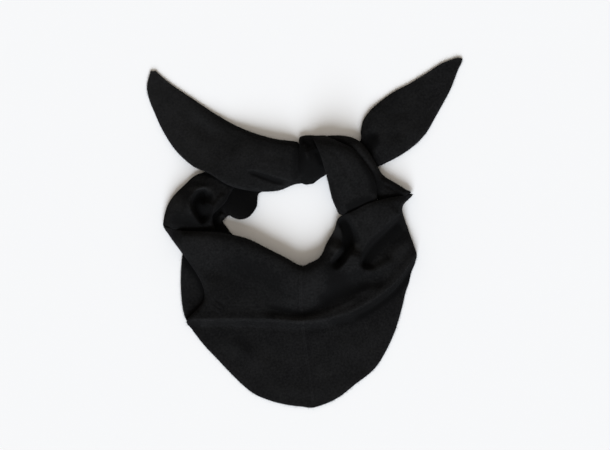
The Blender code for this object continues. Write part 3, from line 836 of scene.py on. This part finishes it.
knotBand = {
    "name": "knotBand", "replaces": ("knot_band",), "held": "folded",
    "flat": (0.055, 0.130), "area": 0.0068, "restsOn": ("hidden_layers", "knot_fold_right"),
    "rowSpacing": 1.3, "across": 46, "rolls": (9, 9), "seed": 9, "edges": ("start", "a"),
    "sections": (
        (7.5, 119.4, 25, 119.7, 2.2, 3, 2.6),
        (8.5, 116, 30, 117.5, 9, 12.5, 5),
        (12.5, 109, 44, 110.5, 19, 23, 14),
        (18, 96, 59, 103, 24, 28, 18),
        (22.5, 81, 70, 91, 24, 29, 18),
        (26.5, 67.5, 78, 81, 20.5, 28, 17.5),
        (30, 53, 84, 70, 12.5, 26.5, 16.5),
        (33, 41, 88, 58, 10, 23.5, 15.5),
        (38.5, 28, 89, 46, 8.5, 21.5, 15.5),
        (43, 21, 90, 38, 8, 17.5, 15),
        (55, 20, 92, 30, 7, 11.5, 10),
    ),
    "folds": (
        ("band streak", ((28, 105), (45, 85), (58, 60), (66, 42)), -0.9, 6, 8, 16),
    ),
    "shades": (
        ("end of the band", ((50, 24), (68, 33), (88, 38)), 0.50, 10, 12, 8),
        ("beside the pleat", ((70, 94), (83, 76), (88, 58), (89, 42)), 0.50, 14, 14, 12),
        ("lit top edge", ((12, 117), (30, 117), (46, 112)), -0.35, 6, 6, 6),
        ("lit middle", ((34, 100), (46, 84), (54, 64)), -0.08, 18, 16, 16),
    ),
}


hidden = {
    "name": "hiddenLayers", "replaces": ("hidden_layers",), "held": "folded",
    # share: the share of light painted into its colour all over, painted shade as it lies under the other
    # layers
    "flat": (0.075, 0.52), "area": 0.030, "restsOn": (), "count": 200, "share": 0.4, "merge": 1e-6,
    # round the neck: inner side x y, outer side x y, height
    "sections": (
        (8, 80, 10, 104, 8),
        (26, 77, 30, 102, 9),
        (42, 58, 52, 97, 11),
        (46, 44, 74, 80, 11),
        (52, 30, 82, 50, 7),
        (53, 14, 92, 24, 2.6),
        (48, -8, 104, -12, 2.6),
        (36, -31, 92, -44, 2.6),
        (14, -50, 28, -78, 8),
        (-8, -54, -8, -80, 11),
        (-44, -38, -56, -74, 10),
        (-84, -18, -103, -58, 9),
        (-98, -12, -118, -30, 3),
        (-112, 12, -150, 14, 2),
        (-84, 38, -138, 54, 2),
        (-66, 61, -112, 84, 2.2),
        (-44, 64, -62, 104, 6.5),
        (-18, 66, -20, 98, 7.5),
    ),
    # round one section, with a rounded step for each layer at its edges: shares of its width and height
    "profile": (
        (0.00, 0.00), (-0.02, 0.05), (-0.025, 0.16), (-0.01, 0.28), (0.015, 0.33), (0.02, 0.38), (0.015, 0.5),
        (0.03, 0.62), (0.055, 0.68), (0.09, 0.75), (0.14, 0.80), (0.22, 0.89), (0.32, 0.96), (0.41, 0.99),
        (0.50, 1.00), (0.59, 0.99), (0.68, 0.96), (0.78, 0.89), (0.86, 0.80), (0.91, 0.75), (0.945, 0.68),
        (0.97, 0.62), (0.985, 0.5), (0.98, 0.38), (0.985, 0.33), (1.01, 0.28), (1.025, 0.16), (1.02, 0.05),
        (1.00, 0.00), (0.75, 0.00), (0.50, 0.00), (0.25, 0.00),
    ),
}


def makeHidden():
    table = np.asarray(hidden["sections"] + hidden["sections"][:1], float)
    rows = sectionsAt(table, np.linspace(0, len(table) - 1, hidden["count"] + 1))
    profile = np.asarray(hidden["profile"] + hidden["profile"][:1])
    surface = np.zeros((len(rows), len(profile), 3))
    for index, (inX, inY, outX, outY, height) in enumerate(rows):
        surface[index, :, 0] = inX + (outX - inX) * profile[:, 0]
        surface[index, :, 1] = inY + (outY - inY) * profile[:, 0]
        surface[index, :, 2] = height * profile[:, 1]
    bm = gridOn(surface)[0]
    bmesh.ops.remove_doubles(bm, verts=bm.verts, dist=hidden["merge"])
    bmesh.ops.recalc_face_normals(bm, faces=bm.faces)
    share = np.full(len(bm.verts), hidden["share"])
    piece = addPiece(hidden["name"], bm, feltCloth, hidden["replaces"], share)
    print("hidden layers laid", round(time.time() - startTime, 1), "s")


fibres = {
    "seed": 41, "radius": 0.06, "waist": 0.8, "sides": 3, "sink": 0.15, "bend": 0.35,
    # on the face: so many a square millimetre, length, share of it, how far they stand and lean
    "perSurface": 0.15, "length": (0.5, 1.5), "lengthShare": (0.4, 1.0), "stand": 0.75, "lean": 0.6,
    # at a free edge: so many a millimetre
    "perEdge": 5.0, "edgeLength": (0.9, 4.2), "edgeShare": (0.25, 1.0), "edgeLean": (0.55, 0.55, 0.35),
    "edgeDepth": (0.1, 1.7),
    # near the floor they are shortened and turned up
    "reach": 1.5, "leastHeight": 0.3, "shortened": 0.5, "lowRoot": 2.2,
}


def fibreMesh(name, roots, directions, bends, lengths, share):
    # one thin fibre of two rings and a tip, repeated along arrays of roots and directions
    sides = fibres["sides"]
    pointsEach = 2 * sides + 1
    directions = directions / np.linalg.norm(directions, axis=1)[:, None]
    helper = np.where(np.abs(directions[:, 2:]) > 0.9, np.array([[1.0, 0, 0]]), np.array([[0, 0, 1.0]]))
    side = np.cross(directions, helper)
    side /= np.linalg.norm(side, axis=1)[:, None]
    other = np.cross(directions, side)
    rings = []
    for along, thin in ((0.0, 1.0), (0.5, fibres["waist"])):
        centre = roots + directions * (lengths * along)[:, None] + bends * (lengths * along ** 2)[:, None]
        for turn in range(sides):
            angle = turn * 2 * math.pi / sides
            outward = math.cos(angle) * side + math.sin(angle) * other
            rings.append(centre + fibres["radius"] * thin * outward)
    tip = roots + directions * lengths[:, None] + bends * lengths[:, None]
    points = np.stack(rings + [tip], axis=1).reshape(-1, 3)
    pairs = [(turn, (turn + 1) % sides) for turn in range(sides)]
    quads = np.array([(turn, after, sides + after, sides + turn) for turn, after in pairs])
    tips = np.array([(sides + turn, sides + after, 2 * sides) for turn, after in pairs])
    base = (np.arange(len(roots)) * pointsEach)[:, None, None]
    faces = (quads[None] + base).reshape(-1, 4).tolist() + (tips[None] + base).reshape(-1, 3).tolist()
    mesh = bpy.data.meshes.new(name)
    mesh.from_pydata(((points - middle) * mm).tolist(), [], faces)
    mesh.attributes.new("sky", "FLOAT", "POINT").data.foreach_set("value", np.repeat(share, pointsEach))
    return mesh


def faceFibres(random, surface, share):
    # short fibres that stand on the felt's face: roots, directions, lengths and shares of light
    alongRow = surface[1:, :-1] - surface[:-1, :-1]
    alongColumn = surface[:-1, 1:] - surface[:-1, :-1]
    normal = np.cross(alongColumn, alongRow)
    area = np.linalg.norm(normal, axis=2)
    normal = normal / np.maximum(area, 1e-9)[:, :, None]
    normal = normal * np.sign(normal[:, :, 2:] + 1e-9)
    count = int(area.sum() * fibres["perSurface"])
    pick = random.choice(area.size, count, p=(area / area.sum()).ravel())
    row, column = np.unravel_index(pick, area.shape)
    spot = random.random((count, 2))
    start = surface[row, column] + alongRow[row, column] * spot[:, :1]
    start = start + alongColumn[row, column] * spot[:, 1:]
    lean = random.normal(size=(count, 3))
    lengths = random.uniform(*fibres["length"], count) * random.uniform(*fibres["lengthShare"], count)
    return (start - normal[row, column] * fibres["sink"],
            normal[row, column] * fibres["stand"] + lean * fibres["lean"], lengths, share[row, column])


def edgeFibres(random, surface, share, side):
    # longer fibres that leave one free edge
    line = sideOf(surface, side)
    inner = sideOf(surface, side, inset=2)
    step = np.linalg.norm(np.diff(line, axis=0), axis=1)
    count = int(step.sum() * fibres["perEdge"])
    along = np.concatenate([[0], np.cumsum(step)])
    where = random.uniform(0, along[-1], count)
    start = np.stack([np.interp(where, along, line[:, k]) for k in range(3)], axis=1)
    back = np.stack([np.interp(where, along, inner[:, k]) for k in range(3)], axis=1)
    out = start - back
    out /= np.maximum(np.linalg.norm(out, axis=1), 1e-9)[:, None]
    start = start - np.array([0, 0, 1.0]) * random.uniform(*fibres["edgeDepth"], count)[:, None]
    directions = out + random.normal(size=(count, 3)) * fibres["edgeLean"]
    lengths = random.uniform(*fibres["edgeLength"], count) * random.uniform(*fibres["edgeShare"], count)
    return start - out * fibres["sink"], directions, lengths, np.interp(where, along, sideOf(share, side))


def fuzzFor(name, group):
    random = np.random.default_rng(fibres["seed"] + len(name))
    tufts = []
    for settings in group:
        surface = surfaces[settings["name"]]
        share = shares[settings["name"]]
        tufts.append(faceFibres(random, surface, share))
        tufts += [edgeFibres(random, surface, share, side) for side in settings["edges"]]
    roots, directions, lengths, share = [np.concatenate(column) for column in zip(*tufts)]
    bends = random.normal(size=roots.shape) * fibres["bend"]
    tipHeight = roots[:, 2] + lengths * fibres["reach"] * np.minimum(directions[:, 2], 0)
    lengths = np.where(tipHeight < fibres["leastHeight"], lengths * fibres["shortened"], lengths)
    upward = np.abs(directions[:, 2])
    directions[:, 2] = np.where(roots[:, 2] < fibres["lowRoot"], upward, directions[:, 2])
    bends[:, 2] = np.abs(bends[:, 2])
    mesh = fibreMesh(name, roots, directions, bends, lengths, share)
    mesh.materials.append(feltFibre)
    piece = bpy.data.objects.new(name, mesh)
    bpy.context.scene.collection.objects.link(piece)
    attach(piece, "root")
    print(name, len(roots), "fibres", round(time.time() - startTime, 1), "s")


studio = {
    "cameraHeight": 4.0, "photoWidth": 0.7625, "lookAt": (0.0003, 0.0088), "sensor": 36.0, "farEnd": 100.0,
    "floor": (0.90, 0.90, 0.90, 1.0), "floorSize": 14.0, "floorDrop": 0.0002,
    "floorRoughness": 0.9, "floorSpecular": 0.1,
    "world": (1.10, 1.0, 0.88, 1.0), "worldStrength": 0.38,
    "keyFrom": (0.0, -1.0, 0.62), "keyAngle": 38.0, "keyPower": 3.96, "keyColour": (0.93, 1.0, 1.09),
}


def setCamera():
    # straight above, far enough away that heights hardly shift
    camera = bpy.data.cameras.new("camera")
    camera.sensor_width = studio["sensor"]
    camera.lens = camera.sensor_width * studio["cameraHeight"] / studio["photoWidth"]
    camera.clip_end = studio["farEnd"]
    holder = bpy.data.objects.new("camera", camera)
    holder.location = (*studio["lookAt"], studio["cameraHeight"])
    bpy.context.scene.collection.objects.link(holder)
    bpy.context.scene.camera = holder


def layFloor():
    bm = bmesh.new()
    bmesh.ops.create_grid(bm, x_segments=1, y_segments=1, size=studio["floorSize"] / 2)
    mesh = bpy.data.meshes.new("floor")
    bm.to_mesh(mesh)
    bm.free()
    floor = bpy.data.objects.new("floor", mesh)
    material = bpy.data.materials.new("pale floor")
    material.use_nodes = True
    shader = material.node_tree.nodes["Principled BSDF"]
    shader.inputs["Base Color"].default_value = studio["floor"]
    shader.inputs["Roughness"].default_value = studio["floorRoughness"]
    shader.inputs["Specular IOR Level"].default_value = studio["floorSpecular"]
    mesh.materials.append(material)
    bpy.context.scene.collection.objects.link(floor)
    floor.location.z = -studio["floorDrop"]


def setLights():
    # warm light all round, and a broad cooler one low in front of the hem
    world = bpy.data.worlds.new("studio")
    world.use_nodes = True
    background = world.node_tree.nodes["Background"]
    background.inputs["Color"].default_value = studio["world"]
    background.inputs["Strength"].default_value = studio["worldStrength"]
    bpy.context.scene.world = world
    light = bpy.data.lights.new("key", "SUN")
    light.angle = math.radians(studio["keyAngle"])
    light.energy = studio["keyPower"]
    light.color = studio["keyColour"]
    key = bpy.data.objects.new("key", light)
    key.location = studio["keyFrom"]
    key.rotation_euler = Vector(studio["keyFrom"]).to_track_quat("Z", "Y").to_euler()
    bpy.context.scene.collection.objects.link(key)
    bpy.context.scene.view_settings.view_transform = "Standard"
    bpy.context.scene.view_settings.look = "None"


setCamera()
layFloor()
setLights()
print("studio set", round(time.time() - startTime, 1), "s")
makeHidden()
strips = (underFold, neckLayerLeft, shoulderLeft, tailLeft, tailRight, knotWrap, knotFoldRight, knotBand)
surfaces = {settings["name"]: uneven(stripSurface(settings), settings["seed"]) for settings in strips}
surfaces["bib"] = bibSurface()
# painted shade from the folds round each point, then the painted shade and painted light of the creases and
# the free edges
topHeights = topMap(surfaces.values())
shares = {name: skyShare(surface, topHeights) for name, surface in surfaces.items()}
for settings in (bib,) + strips:
    shares[settings["name"]] *= creaseShare(surfaces[settings["name"]], settings)
print("sky shares", round(time.time() - startTime, 1), "s")
for settings in (bib,) + strips:
    clothPiece(settings, surfaces[settings["name"]], shares[settings["name"]])
fuzzFor("fuzzBib", (bib,))
fuzzFor("fuzzTails", (tailLeft, tailRight))
fuzzFor("fuzzKnot", (underFold, neckLayerLeft, shoulderLeft, knotWrap, knotFoldRight, knotBand))

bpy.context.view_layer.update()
print("scene built in", round(time.time() - startTime, 1), "s")
